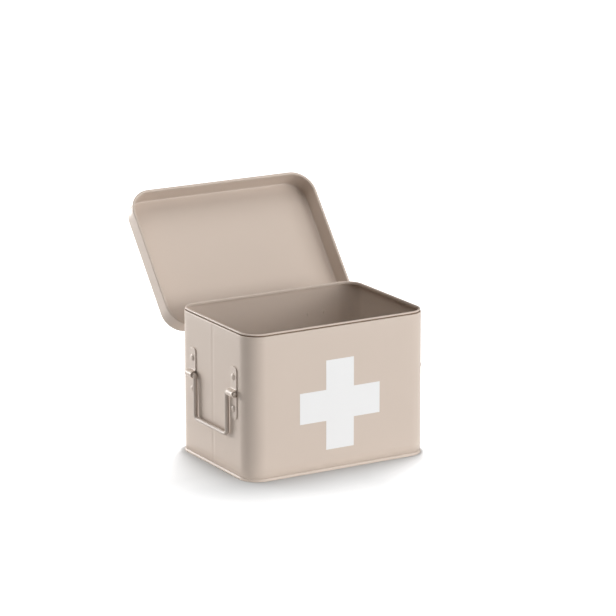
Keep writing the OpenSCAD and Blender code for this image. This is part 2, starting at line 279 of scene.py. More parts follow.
bm, front = start_section(-HALF_T, WALL_FOOT_Z)
front = rise(bm, front, wall_top_z - WALL_FOOT_Z, SIDE_STEPS)
front = bend(bm, front, -SHOULDER_R, wall_top_z, 90, steps=6)
front = run_in(bm, front, -neck_u - NECK_BEND_R - SHOULDER_R, steps=2)
front = bend(bm, front, neck_u + NECK_BEND_R, shoulder_z - HALF_T + NECK_BEND_R, -90, steps=4)
front = rise(bm, front, roll_z - shoulder_z + HALF_T - NECK_BEND_R)
bend(bm, front, roll_u, roll_z, ROLL_TURN, steps=30)
carry_round(bm, [away / STRAIGHT_Y for away in SEAM_RINGS] + PANEL_RINGS)
print(f"wall: {wall_top_z / MM:.1f} mm high to the shoulder, roll of {2 * ROLL_R / MM:.1f} mm")

# %% [markdown]
# ### Swell of the panels and the lock seam
#
# A thin panel never stays quite flat, and its slight swell bends the light on it. The front
# swells by a quarter of a millimetre and the sides by half as much, and the rear stays flat
# under its hinges. A formula does it and not a sculpted bump, because the cross has to follow
# the front later. The two ends of the strip lock into each other in the left wall, and outside
# the seam shows as a shallow channel between two soft ridges.

# %% Swell and lock seam
SWELL = 0.25 * MM
SEAM_W = 5 * MM
SEAM_DEPTH = 0.2 * MM
RIDGE_AWAY = 4.9 * MM
RIDGE_HALF_W = 0.8 * MM
RIDGE_LIFT = 0.03 * MM


def swell(share_across, share_up):
    """How far a panel stands out: nothing at its edges and SWELL in its middle. The shares run
    from -1 to 1 across the panel and up it."""
    across = max(0.0, 1 - share_across ** 2)
    up = max(0.0, 1 - share_up ** 2)
    return SWELL * across ** 2 * up ** 2


def share_up(z):
    return (2 * z - WALL_FOOT_Z - wall_top_z) / (wall_top_z - WALL_FOOT_Z)


def front_swell(x, z):
    return swell(x / STRAIGHT_X, share_up(z))


def side_swell(y, z):
    return swell((y - MID_Y) / STRAIGHT_Y, share_up(z)) / 2


def seam_shape(y):
    """How far the lock seam stands out of the wall at y. The channel slopes over the outer
    quarters of its width and is flat between them."""
    away = abs(y - MID_Y)
    channel = -SEAM_DEPTH * max(0.0, min(1.0, (SEAM_W / 2 - away) / (SEAM_W / 4)))
    ridge = RIDGE_LIFT * max(0.0, 1 - abs(away - RIDGE_AWAY) / RIDGE_HALF_W)
    return channel + ridge


for v in bm.verts:
    x, y, z = v.co
    if z > wall_top_z:
        continue
    if y < MID_Y and abs(x) < STRAIGHT_X:
        v.co.y -= front_swell(x, z)
    elif abs(y - MID_Y) < STRAIGHT_Y:
        lift = side_swell(y, z)
        if x < 0:
            lift += seam_shape(y)
        v.co.x += math.copysign(1, x) * lift

wall = piece("wall_sheet", bm, "box", "body_paint", ["body_wall"])
give_sheet(wall)

# %% [markdown]
# ### Lock seam inside the wall
#
# Inside, the hooked ends of the strip lie on each other as a flat band with round edges. Hooked
# sheet could be traced whole, but nobody sees between its layers, so the band is one closed
# form. Its outline, seen from above, is two straight runs and two half turns, and it is pulled
# up the wall as one extrusion.

# %% Lock seam band
FOLD_W = 9 * MM
FOLD_T = 1.4 * MM
FOLD_FOOT_Z = 3.7 * MM
fold_r = FOLD_T / 2
fold_x = -BODY_W / 2 + SHEET_T + fold_r
half_run = FOLD_W / 2 - fold_r

bm = bmesh.new()
front = [bm.verts.new((fold_x - fold_r, MID_Y - half_run, FOLD_FOOT_Z))]
front = run(bm, front, (0, 2 * half_run, 0), steps=4)
front = turn(bm, front, (fold_x, MID_Y + half_run, 0), Z_AXIS, -180, steps=10)
front = run(bm, front, (0, -2 * half_run, 0), steps=4)
turn(bm, front, (fold_x, MID_Y - half_run, 0), Z_AXIS, -180, steps=10)
bmesh.ops.remove_doubles(bm, verts=bm.verts[:], dist=WELD)
outline = bm.edges[:]
top = run(bm, outline, (0, 0, wall_top_z - FOLD_FOOT_Z), SIDE_STEPS)
for loop in (outline, top):
    bmesh.ops.contextual_create(bm, geom=loop)
piece("lock_seam_band", bm, "box", "body_paint")

# %% [markdown]
# ## Base
#
# The base is a shallow pressing whose edge is folded round the wall's foot: a leg outside, its
# top edge pressed flush into the wall, a flat ring that the box stands on, a leg inside, and the
# floor a little above the ground. The same tracing makes it, and one face closes the floor. A
# bevelled plate would look alike from afar, but the fold gives the foot its soft bright step.
# The leaning top of the leg begins a little low, because the outer corner of its thickness
# reaches higher than its middle line.

# %% Base section
LEG_U = 0.35 * MM
LEG_TOP_U = -0.25 * MM
LEG_TOP_LOW = 0.1 * MM
LEG_CRIMP = 1.8 * MM
FOOT_R = 0.6 * MM
INNER_U = -1.1 * MM
BEND_R = 0.35 * MM
BASE_FLOOR_Z = 2.65 * MM
base_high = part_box("base_pan")[1]
leg_top_z = base_high.z - LEG_TOP_LOW
leg_bend_z = base_high.z - LEG_CRIMP

bm, front = start_section(LEG_TOP_U, leg_top_z)
front = run(bm, front, (LEG_TOP_U - LEG_U, 0, leg_bend_z - leg_top_z), steps=3)
front = rise(bm, front, HALF_T + FOOT_R - leg_bend_z)
front = bend(bm, front, LEG_U - FOOT_R, HALF_T + FOOT_R, -90, steps=7)
front = run_in(bm, front, LEG_U - FOOT_R - INNER_U - BEND_R)
front = bend(bm, front, INNER_U + BEND_R, HALF_T + BEND_R, -90, steps=4)
front = rise(bm, front, BASE_FLOOR_Z - HALF_T - 2 * BEND_R)
front = bend(bm, front, INNER_U - BEND_R, BASE_FLOOR_Z - BEND_R, 90, steps=5)
run_in(bm, front, 2 * MM)
carry_round(bm, [0.25, 0.5, 0.75, 1.0])
fill_loop(bm, BASE_FLOOR_Z)
base = piece("base_sheet", bm, "box", "body_paint", ["base_pan"])
give_sheet(base)

# %% [markdown]
# ## Lid
#
# The lid is a tray pressed from one sheet. Its skirt ends in a roll that turns outwards and
# stiffens the edge, and a bend joins the skirt to the top. It could be traced in the open pose,
# but then nothing would show that it fits, so it is traced shut, over the wall, with the gap
# that it slips on with.

# %% Lid section
LID_GAP = 2.1 * MM
LID_ROLL_R = 1.5 * MM
LID_ROLL_START = math.radians(115)
LID_ROLL_TURN = -295
LID_EDGE_R = 2.5 * MM
LID_DEPTH = 21.4 * MM
LID_REST_GAP = 0.1 * MM
LID_TOP_RIM = 8 * MM
lid_roll_u = LID_GAP + LID_ROLL_R
lid_inside_z = BODY_H + LID_REST_GAP
lid_plate_z = lid_inside_z + HALF_T
lid_roll_z = lid_inside_z - LID_DEPTH + LID_ROLL_R
lid_bend_z = lid_plate_z + HALF_T - LID_EDGE_R
roll_line_r = LID_ROLL_R - HALF_T

bm, front = start_section(
    lid_roll_u + roll_line_r * math.cos(LID_ROLL_START),
    lid_roll_z + roll_line_r * math.sin(LID_ROLL_START),
)
front = bend(bm, front, lid_roll_u, lid_roll_z, LID_ROLL_TURN, steps=30)
front = rise(bm, front, lid_bend_z - lid_roll_z, steps=6)
front = bend(bm, front, LID_GAP + SHEET_T - LID_EDGE_R, lid_bend_z, 90, steps=10)
run_in(bm, front, LID_TOP_RIM, steps=3)
carry_round(bm, [0.2, 0.4, 0.6, 0.8, 1.0])
fill_loop(bm, lid_plate_z)
print(f"lid: {LID_DEPTH / MM:.1f} mm deep inside, {LID_GAP / MM:.1f} mm off the wall when shut")

# %% [markdown]
# ### Notches over the hinges
#
# The hinges need the place of the roll, so the real lid is cut away over each of them. A Boolean
# could cut it, but on thin sheet it leaves long thin faces. Here planes cut the skirt beside and
# above each hinge, and the faces between the cuts go.

# %% Notches over the hinges
NOTCH_GAP = 0.5 * MM
KNUCKLE_R = 1.65 * MM
KNUCKLE_GAP = 0.3 * MM
notch_top = max(PIN.z + KNUCKLE_R + KNUCKLE_GAP, lid_roll_z + LID_ROLL_R)
pin_boxes = {side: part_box(f"{side}_hinge_pin") for side in SIDES}
HINGE_W = pin_boxes["left"][1].x - pin_boxes["left"][0].x
hinge_x = {side: (low.x + high.x) / 2 for side, (low, high) in pin_boxes.items()}
half_notch = HINGE_W / 2 + NOTCH_GAP


def cut(bm, faces, place, direction):
    """Cuts faces with a plane and keeps both parts."""
    parts = {p for f in faces for p in (f, *f.edges, *f.verts)}
    bmesh.ops.bisect_plane(bm, geom=list(parts), plane_co=place, plane_no=direction)


def rear_skirt(bm):
    return [f for f in bm.faces if f.calc_center_median().y > MID_Y + BODY_D / 2]


for x in hinge_x.values():
    for s in (-1, 1):
        cut(bm, rear_skirt(bm), (x + s * half_notch, 0, 0), X_AXIS)
cut(bm, rear_skirt(bm), (0, 0, notch_top), Z_AXIS)
in_notch = []
for f in rear_skirt(bm):
    middle = f.calc_center_median()
    over_hinge = any(abs(middle.x - x) < half_notch for x in hinge_x.values())
    if over_hinge and middle.z < notch_top:
        in_notch.append(f)
bmesh.ops.delete(bm, geom=in_notch, context="FACES")
print(f"notches: {len(in_notch)} faces cut away, {2 * half_notch / MM:.1f} mm wide each")

# %% [markdown]
# ### Opening the lid
#
# The model stands at rest with its lid open, so the finished lid is turned about the hinge pins
# as a whole. Its points are turned and not its object, because each piece keeps its place in
# its mesh.

# %% Opening the lid
def open_lid(bm):
    bmesh.ops.rotate(
        bm, verts=bm.verts[:], cent=PIN, matrix=Matrix.Rotation(-LID_OPEN, 3, "X"),
    )


open_lid(bm)
lid = piece("lid_sheet", bm, "lid", "body_paint", ["lid_shell"])
give_sheet(lid)

# %% [markdown]
# ## Cross
#
# The cross is a thin white coat on the front, with crisp edges. A grid of three by three faces
# becomes a cross when its corner faces go, and it gets enough rings to follow the swell of the
# front before it is raised by a little over a tenth of a millimetre. Colour alone could draw it,
# but then its edge would have no thickness, and it would be no piece of its own.

# %% Cross
ARM_HALF_W = 16.2 * MM
CROSS_RAISE = 0.14 * MM
CROSS_EDGE = 0.05 * MM
CROSS_CUTS = 7
cross_low, cross_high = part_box("front_cross")
cross_half = (cross_high.x - cross_low.x) / 2
cross_z = (cross_low.z + cross_high.z) / 2

bm = bmesh.new()
bmesh.ops.create_grid(bm, x_segments=3, y_segments=3, size=cross_half)
for v in bm.verts:
    for i in (0, 1):
        is_inner = abs(v.co[i]) < cross_half / 2
        if is_inner:
            v.co[i] = math.copysign(ARM_HALF_W, v.co[i])
corners = [
    f for f in bm.faces if min(abs(c) for c in f.calc_center_median()[:2]) > ARM_HALF_W
]
bmesh.ops.delete(bm, geom=corners, context="FACES")
bmesh.ops.subdivide_edges(bm, edges=bm.edges[:], cuts=CROSS_CUTS, use_grid_fill=True)
for v in bm.verts:
    x, z = v.co.x, v.co.y + cross_z
    v.co = Vector((x, wall_low.y - front_swell(x, z), z))
flat = bm.faces[:]
raised = bmesh.ops.extrude_face_region(bm, geom=flat)
top_verts = [g for g in raised["geom"] if isinstance(g, bmesh.types.BMVert)]
bmesh.ops.translate(bm, verts=top_verts, vec=(0, -CROSS_RAISE, 0))
bmesh.ops.delete(bm, geom=flat, context="FACES")
cross = piece("painted_cross", bm, "box", "cross_paint", ["front_cross"])
ease_edges(cross, CROSS_EDGE)

# %% [markdown]
# ## Handle brackets
#
# Each bracket is a strap with round ends, bent out in its middle into a loop that holds the
# rod. It is made as the press makes it: a flat blank is cut, scored with lines across, and then
# bent, so each point moves to the place that its distance along the strap gives. A loop joined
# to two plates would leave seams at its feet, and the bent blank has none.

# %% Strap sizes and the bent line
STRAP_T = 1.1 * MM
STRAP_END_R = 4 * MM
STRAP_BEND_R = 1 * MM
STRAP_EDGE = 0.25 * MM
ROD_GAP = 0.4 * MM
strap_low, strap_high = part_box("right_front_bracket")
STRAP_W = strap_high.y - strap_low.y
STRAP_H = strap_high.z - strap_low.z
bail_low, bail_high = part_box("right_bail")
ROD_R = (bail_high.x - bail_low.x) / 2
ROD_OUT = (bail_low.x + bail_high.x) / 2 - BODY_W / 2
PIVOT = Vector(joints["right_handle_pivot"]["pos_m"])

loop_r = ROD_R + ROD_GAP + STRAP_T / 2
foot_bend_r = STRAP_BEND_R + STRAP_T / 2
foot_x = STRAP_T / 2 + foot_bend_r
loop_end = loop_r * math.pi / 2
neck_end = loop_end + ROD_OUT - foot_x
bend_end = neck_end + foot_bend_r * math.pi / 2
strap_half = bend_end + STRAP_H / 2 - loop_r - foot_bend_r
print(f"strap: blank {2 * strap_half / MM:.1f} mm long, {STRAP_H / MM:.1f} mm high when bent")


def strap_line(s):
    """The place of the strap's middle line, out of the wall and above the pivot, at the
    distance s along it from the loop's crown."""
    far = abs(s)
    if far <= loop_end:
        turned = far / loop_r
        out, up = ROD_OUT + loop_r * math.cos(turned), loop_r * math.sin(turned)
    elif far <= neck_end:
        out, up = ROD_OUT - (far - loop_end), loop_r
    elif far <= bend_end:
        turned = (far - neck_end) / foot_bend_r
        out = foot_x - foot_bend_r * math.sin(turned)
        up = loop_r + foot_bend_r * (1 - math.cos(turned))
    else:
        out, up = STRAP_T / 2, loop_r + foot_bend_r + far - bend_end
    return out, math.copysign(up, s)


# %% Strap blank, cut and bent
LOOP_SCORES = 8
FOOT_SCORES = 5
STRAP_END_STEPS = 8


def strap_scores():
    """Distances along the strap at which the blank is scored, so that its bends are round."""
    scores = [loop_end * k / LOOP_SCORES for k in range(LOOP_SCORES + 1)]
    foot = bend_end - neck_end
    scores += [neck_end + foot * k / FOOT_SCORES for k in range(FOOT_SCORES + 1)]
    return scores


def bracket(side, end):
    low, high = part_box(f"{side}_{end}_bracket")
    out = 1 if side == "right" else -1
    middle_y, middle_z = (low.y + high.y) / 2, (low.z + high.z) / 2
    bm = bmesh.new()
    bmesh.ops.create_grid(bm, x_segments=1, y_segments=1, size=1)
    bmesh.ops.scale(bm, vec=(STRAP_W / 2, strap_half, 1), verts=bm.verts[:])
    bmesh.ops.bevel(
        bm, geom=bm.verts[:], offset=STRAP_END_R, segments=STRAP_END_STEPS, profile=0.5,
        affect="VERTICES", material=-1,
    )
    for score in strap_scores():
        for s in {score, -score}:
            cut(bm, bm.faces[:], (0, s, 0), Y_AXIS)
    for v in bm.verts:
        away, up = strap_line(v.co.y)
        v.co = Vector((out * (BODY_W / 2 + away), middle_y + v.co.x, middle_z + up))
    obj = piece(f"{side}_{end}_strap", bm, "box", "bracket_paint", [f"{side}_{end}_bracket"])
    give_sheet(obj, STRAP_T)
    ease_edges(obj, STRAP_EDGE, segments=3)


for side in SIDES:
    for end in ("front", "rear"):
        bracket(side, end)

# %% [markdown]
# ## Rivets
#
# A rivet is a turned part, so its section is traced along the axis and spun all the way round:
# a domed head with a short upright rim, the shank, and the closed end behind the sheets. Part
# of a sphere would be quicker, but it has no rim, and the rim sets a head off from its strap.

# %% Tracing a rivet
RIVET_RIM = 0.2 * MM
RIVET_TAIL = 0.7 * MM
TAIL_FLARE = 1.5
RIVET_STEPS = 32


def add_rivet(bm, place, head_r, head_h, shank_r, grip):
    """Adds a rivet whose axis is +X, with its head on x = 0, and puts it at place."""
    crown = head_h - RIVET_RIM
    dome_r = (head_r ** 2 + crown ** 2) / (2 * crown)
    dome_angle = math.degrees(math.asin(head_r / dome_r))
    start = bm.verts.new((head_h, 0, 0))
    before = set(bm.verts) - {start}
    front = turn(bm, [start], (head_h - dome_r, 0, 0), Z_AXIS, dome_angle, steps=10)
    front = run(bm, front, (-RIVET_RIM, 0, 0))
    front = run(bm, front, (0, shank_r - head_r, 0))
    front = run(bm, front, (-grip, 0, 0))
    front = run(bm, front, (0, shank_r * (TAIL_FLARE - 1), 0))
    front = run(bm, front, (-RIVET_TAIL, 0, 0))
    run(bm, front, (0, -shank_r * TAIL_FLARE, 0))
    section = set(bm.verts) - before
    edges = [e for e in bm.edges if all(v in section for v in e.verts)]
    bmesh.ops.spin(
        bm, geom=edges, cent=(0, 0, 0), axis=X_AXIS, dvec=(0, 0, 0),
        angle=math.tau, steps=RIVET_STEPS, use_merge=True, use_duplicate=False,
    )
    made = [v for v in bm.verts if v not in before]
    bmesh.ops.remove_doubles(bm, verts=made, dist=WELD)
    made = [v for v in bm.verts if v not in before]
    bmesh.ops.transform(bm, matrix=place, verts=made)


# %% Rivets of the brackets
HEAD_R = 3.5 * MM
HEAD_H = 1.6 * MM
SHANK_R = 1.6 * MM
RIVET_UP = 16.4 * MM


def bracket_rivets(side, end):
    low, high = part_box(f"{side}_{end}_rivets")
    out = 1 if side == "right" else -1
    outward = Matrix.Identity(4) if side == "right" else Matrix.Rotation(math.pi, 4, "Z")
    bm = bmesh.new()
    for up in (-1, 1):
        place = Matrix.Translation((
            out * (BODY_W / 2 + STRAP_T), (low.y + high.y) / 2, PIVOT.z + up * RIVET_UP,
        ))
        add_rivet(bm, place @ outward, HEAD_R, HEAD_H, SHANK_R, STRAP_T + SHEET_T)
    piece(f"{side}_{end}_rivet_pair", bm, "box", "rivet_paint", [f"{side}_{end}_rivets"])


for side in SIDES:
    for end in ("front", "rear"):
        bracket_rivets(side, end)

# %% [markdown]
# ## Bail handles
#
# A bail is one round rod, bent four times. A curve with a round bevel could draw it, but its
# bends would depend on handles set by eye. So a circle is pulled and turned along the rod from
# one end to the other, and the cut ends are capped and eased with a bevel. The hinge pins are
# made with the same two helpers.

# %% Round rods
ROD_SIDES = 24


def start_rod(bm, end, radius, axis):
    """The first ring of a rod. A circle lies flat, so a quarter turn about axis stands it up."""
    bmesh.ops.create_circle(
        bm, segments=ROD_SIDES, radius=radius,
        matrix=Matrix.Translation(end) @ Matrix.Rotation(math.pi / 2, 4, axis),
    )
    return bm.edges[:]


def close_rod(bm, first, last, eased, segments):
    """Caps both ends of a rod and eases their edges."""
    for ring in (first, last):
        bmesh.ops.contextual_create(bm, geom=ring)
    bmesh.ops.bevel(
        bm, geom=first + last, offset=eased, segments=segments, profile=0.5,
        affect="EDGES", material=-1,
    )


# %% Bails
EAR_BEND_R = 3 * MM
GRIP_BEND_R = 5 * MM
BAIL_PLAY = 0.3 * MM
ROD_END_EASED = 0.7 * MM
ROD_STEPS = 6
EAR_STEPS = 2
QUARTER_STEPS = 12
half_pitch = PIVOT.y - (strap_low.y + strap_high.y) / 2
LEG_Y = half_pitch - STRAP_W / 2 - BAIL_PLAY - EAR_BEND_R
EAR_Y = (bail_high.y - bail_low.y) / 2
DROP = PIVOT.z - bail_low.z - ROD_R


def bail(side):
    """A bail, drawn from the end of its rear ear down, along the grip and up to the front ear."""
    centre = Vector((joints[f"{side}_handle_pivot"]["pos_m"][0], PIVOT.y, PIVOT.z))
    ear_run = EAR_Y - LEG_Y - EAR_BEND_R
    leg_run = DROP - EAR_BEND_R - GRIP_BEND_R
    grip_run = 2 * (LEG_Y - GRIP_BEND_R)
    ear_bend_y, grip_bend_y = LEG_Y + EAR_BEND_R, LEG_Y - GRIP_BEND_R
    ear_bend_z, grip_bend_z = -EAR_BEND_R, GRIP_BEND_R - DROP
    bm = bmesh.new()

    def quarter(front, y, z, degrees):
        return turn(bm, front, centre + Vector((0, y, z)), X_AXIS, degrees, QUARTER_STEPS)

    first = start_rod(bm, centre + Vector((0, EAR_Y, 0)), ROD_R, "X")
    front = run(bm, first, (0, -ear_run, 0), EAR_STEPS)
    front = quarter(front, ear_bend_y, ear_bend_z, 90)
    front = run(bm, front, (0, 0, -leg_run), ROD_STEPS)
    front = quarter(front, grip_bend_y, grip_bend_z, -90)
    front = run(bm, front, (0, -grip_run, 0), ROD_STEPS)
    front = quarter(front, -grip_bend_y, grip_bend_z, -90)
    front = run(bm, front, (0, 0, leg_run), ROD_STEPS)
    front = quarter(front, -ear_bend_y, ear_bend_z, 90)
    last = run(bm, front, (0, -ear_run, 0), EAR_STEPS)
    close_rod(bm, first, last, ROD_END_EASED, segments=4)
    piece(f"{side}_handle_rod", bm, f"{side}_handle", "bail_paint", [f"{side}_bail"])


for side in SIDES:
    bail(side)

# %% [markdown]
# ## Hinges
#
# A leaf is a blank with tongues that are rolled round the pin: two on the body's leaf, and one
# between them on the lid's. A tube on a plate would show a join that the real leaf lacks. Here
# the plate is a face with two round corners, and each tongue starts as an edge of it that is
# turned about the pin. The lid's leaf is made shut and opened with the lid.

# %% Hinge plates and tongues
PIN_R = 1 * MM
LEAF_T = 0.6 * MM
LEAF_EDGE = 0.1 * MM
LEAF_CORNER_R = 3 * MM
LEAF_CORNER_STEPS = 8
MIDDLE_W = 13.4 * MM
KNUCKLE_STEPS = 28
END_W = (HINGE_W - MIDDLE_W) / 2 - KNUCKLE_GAP
WALL_BACK_Y = MID_Y + BODY_D / 2
knuckle_line_r = KNUCKLE_R - LEAF_T / 2
print(f"hinges: {HINGE_W / MM:.1f} mm wide, knuckles of {2 * KNUCKLE_R / MM:.1f} mm")


def leaf_plate(bm, x, y, z_near, z_far):
    """A leaf's plate, as one face with round corners at its far end."""
    bmesh.ops.create_grid(bm, x_segments=1, y_segments=1, size=1)
    for v in bm.verts:
        z = z_near if v.co.y > 0 else z_far
        v.co = Vector((x + v.co.x * HINGE_W / 2, y, z))
    far = [v for v in bm.verts if abs(v.co.z - z_far) < WELD]
    bmesh.ops.bevel(
        bm, geom=far, offset=LEAF_CORNER_R, segments=LEAF_CORNER_STEPS, profile=0.5,
        affect="VERTICES", material=-1,
    )


def tongue(bm, x, y, z, width, start_angle, degrees):
    """A tongue in the middle at x: an edge on the plate, a short run and a roll round the pin
    that begins at start_angle."""
    ends = [bm.verts.new((x + s * width / 2, y, z)) for s in (-1, 1)]
    front = [bm.edges.new(ends)]
    over, up = knuckle_line_r * math.cos(start_angle), knuckle_line_r * math.sin(start_angle)
    begin = Vector((0, PIN.y + over, PIN.z + up))
    front = run(bm, front, (0, begin.y - y, begin.z - z), steps=2)
    turn(bm, front, PIN, X_AXIS, degrees, KNUCKLE_STEPS)


# %% Hinge leaves
BODY_LEAF_H = 18 * MM
BODY_KNUCKLE_TURN = -310
LID_LEAF_H = 15 * MM
LID_KNUCKLE_TURN = -300


def body_leaf(side):
    x = hinge_x[side]
    y = WALL_BACK_Y + LEAF_T / 2
    near = PIN.z - KNUCKLE_R - KNUCKLE_GAP
    bm = bmesh.new()
    leaf_plate(bm, x, y, near, PIN.z - BODY_LEAF_H)
    for s in (-1, 1):
        middle = x + s * (HINGE_W - END_W) / 2
        tongue(bm, middle, y, near, END_W, math.pi, BODY_KNUCKLE_TURN)
    obj = piece(f"{side}_leaf_on_body", bm, "box", "hinge_paint", [f"{side}_hinge_body_leaf"])
    give_sheet(obj, LEAF_T)
    ease_edges(obj, LEAF_EDGE)


def lid_leaf(side):
    x = hinge_x[side]
    y = WALL_BACK_Y + LID_GAP + SHEET_T + LEAF_T / 2
    near = PIN.z + KNUCKLE_R + KNUCKLE_GAP
    meets = math.acos(min(1.0, (y - PIN.y) / knuckle_line_r))
    bm = bmesh.new()
    leaf_plate(bm, x, y, near, PIN.z + LID_LEAF_H)
    tongue(bm, x, y, near, MIDDLE_W, meets, LID_KNUCKLE_TURN)
    open_lid(bm)
    obj = piece(f"{side}_leaf_on_lid", bm, "lid", "hinge_paint", [f"{side}_hinge_lid_leaf"])
    give_sheet(obj, LEAF_T)
    ease_edges(obj, LEAF_EDGE)


# %% Hinge pins and their rivets
PIN_END_EASED = 0.3 * MM
POP_R = 2.5 * MM
POP_H = 1.1 * MM
POP_SHANK_R = 1.2 * MM
RIVET_FROM_PIN = 10 * MM
RIVET_PITCH = 20 * MM


def hinge_pin(side):
    low, high = pin_boxes[side]
    bm = bmesh.new()
    first = start_rod(bm, (low.x, PIN.y, PIN.z), PIN_R, "Y")
    last = run(bm, first, (high.x - low.x, 0, 0), steps=4)
    close_rod(bm, first, last, PIN_END_EASED, segments=3)
    piece(f"{side}_pin", bm, "box", "hinge_paint", [f"{side}_hinge_pin"])


def hinge_rivets(side, on):
    on_lid = on == "lid"
    y = WALL_BACK_Y + LEAF_T + (LID_GAP + SHEET_T if on_lid else 0)
    z = PIN.z + (RIVET_FROM_PIN if on_lid else -RIVET_FROM_PIN)
    backward = Matrix.Rotation(math.pi / 2, 4, "Z")
    bm = bmesh.new()
    for s in (-1, 1):
        place = Matrix.Translation((hinge_x[side] + s * RIVET_PITCH / 2, y, z))
        add_rivet(bm, place @ backward, POP_R, POP_H, POP_SHANK_R, LEAF_T + SHEET_T)
    if on_lid:
        open_lid(bm)
    body = "lid" if on_lid else "box"
    piece(f"{side}_rivets_on_{on}", bm, body, "rivet_paint", [f"{side}_hinge_{on}_rivets"])


for side in SIDES:
    body_leaf(side)
    lid_leaf(side)
    hinge_pin(side)
    for on in ("body", "lid"):
        hinge_rivets(side, on)

# %% [markdown]
# ## Paint
#
# Baked enamel over steel is satin, with a faint skin like the peel of an orange and slow, faint
# changes of tone. A flat colour would look like plastic. One node group makes all three from
# Object coordinates, so that the pattern stays on a piece when it moves, and each paint gives it
# its own colour and roughness.

# %% Helpers for nodes
def new_group(name, inputs, outputs):
    group = bpy.data.node_groups.new(name, "ShaderNodeTree")
    for label, kind, value in inputs:
        made = group.interface.new_socket(name=label, in_out="INPUT", socket_type=kind)
        made.default_value = value
    for label, kind in outputs:
        group.interface.new_socket(name=label, in_out="OUTPUT", socket_type=kind)
    return group, group.nodes.new("NodeGroupInput"), group.nodes.new("NodeGroupOutput")


def set_sockets(tree, sockets, values):
    """Links a socket to a value that is another node's socket, and else sets it."""
    for socket, value in zip(sockets, values):
        if isinstance(value, bpy.types.NodeSocket):
            tree.links.new(value, socket)
        else:
            socket.default_value = value


def math_node(tree, operation, *values):
    node = tree.nodes.new("ShaderNodeMath")
    node.operation = operation
    set_sockets(tree, node.inputs, values)
    return node.outputs[0]


def vector_node(tree, operation, *values):
    node = tree.nodes.new("ShaderNodeVectorMath")
    node.operation = operation
    set_sockets(tree, node.inputs, values)
    return node.outputs["Value" if operation in ("LENGTH", "DOT_PRODUCT") else "Vector"]


def object_place(tree):
    return tree.nodes.new("ShaderNodeTexCoord").outputs["Object"]


def along_axes(tree, place):
    """The X, Y and Z of a place."""
    split = tree.nodes.new("ShaderNodeSeparateXYZ")
    tree.links.new(place, split.inputs[0])
    return split.outputs


# %% Skin of the paint, as a node group
TONE_SCALE = 14
PEEL_SCALE = 900
GRAIN_SCALE = 260
GRAIN = 0.08
PEEL_DISTANCE = 0.05 * MM


def noise(group, place, scale, detail):
    node = group.nodes.new("ShaderNodeTexNoise")
    node.inputs["Scale"].default_value = scale
    node.inputs["Detail"].default_value = detail
    group.links.new(place, node.inputs["Vector"])
    return node.outputs["Fac"]


def make_paint_skin():
    group, given, result = new_group(
        "paint_skin",
        (
            ("Paint", "NodeSocketColor", (0.6, 0.55, 0.5, 1)),
            ("Tone change", "NodeSocketFloat", 0.03),
            ("Roughness", "NodeSocketFloat", 0.45),
            ("Peel height", "NodeSocketFloat", 0.15),
        ),
        (
            ("Color", "NodeSocketColor"),
            ("Roughness", "NodeSocketFloat"),
            ("Normal", "NodeSocketVector"),
        ),
    )
    link = group.links.new
    place = object_place(group)
    slow = noise(group, place, TONE_SCALE, detail=3)
    peel = noise(group, place, PEEL_SCALE, detail=2)
    fine = noise(group, place, GRAIN_SCALE, detail=4)

    lighter = math_node(group, "MULTIPLY_ADD", slow, given.outputs["Tone change"], 1.0)
    tone = group.nodes.new("ShaderNodeVectorMath")
    tone.operation = "SCALE"
    link(given.outputs["Paint"], tone.inputs[0])
    link(lighter, tone.inputs["Scale"])
    link(tone.outputs[0], result.inputs["Color"])

    rougher = math_node(group, "MULTIPLY_ADD", fine, GRAIN, given.outputs["Roughness"])
    link(rougher, result.inputs["Roughness"])

    bump = group.nodes.new("ShaderNodeBump")
    bump.inputs["Distance"].default_value = PEEL_DISTANCE
    link(given.outputs["Peel height"], bump.inputs["Strength"])
    link(peel, bump.inputs["Height"])
    link(bump.outputs["Normal"], result.inputs["Normal"])
    return group


PAINT_SKIN = make_paint_skin()
print(f"{PAINT_SKIN.name}: {len(PAINT_SKIN.nodes)} nodes")

# %% [markdown]
# ### Painted shade in the crease under the rolled rim
#
# The narrow groove between the shoulder and the roll falls into deeper shade than its traced
# shape alone shows, so that shade is painted into the colour there. A dark thread laid in the
# groove would be a piece that the box doesn't have, so the paint itself is darkened, as painted
# shade.
# The group below gives 1 on the surfaces of the groove: between two heights, inside the outline
# of the body, and not facing inwards. The outline is told by its distance, which the floor uses
# again for the shadow.

# %% Mask of the crease, as a node group
BODY_CENTRE = (0, MID_Y, 0)
CREASE_LOW_Z = shoulder_z - 0.05 * MM
CREASE_HIGH_Z = roll_z - ROLL_R / 2
CREASE_INSET = 0.3 * MM
FACING_INWARDS = -0.001


def outline_distance(tree, place, centre):
    """How far a point lies outside the outline of the body, moved to centre. Inside it is
    negative."""
    straight = (STRAIGHT_X, STRAIGHT_Y, 1)
    side = vector_node(tree, "ABSOLUTE", vector_node(tree, "SUBTRACT", place, centre))
    past = vector_node(tree, "MAXIMUM", vector_node(tree, "SUBTRACT", side, straight), (0, 0, 0))
    return math_node(tree, "SUBTRACT", vector_node(tree, "LENGTH", past), CORNER_R)


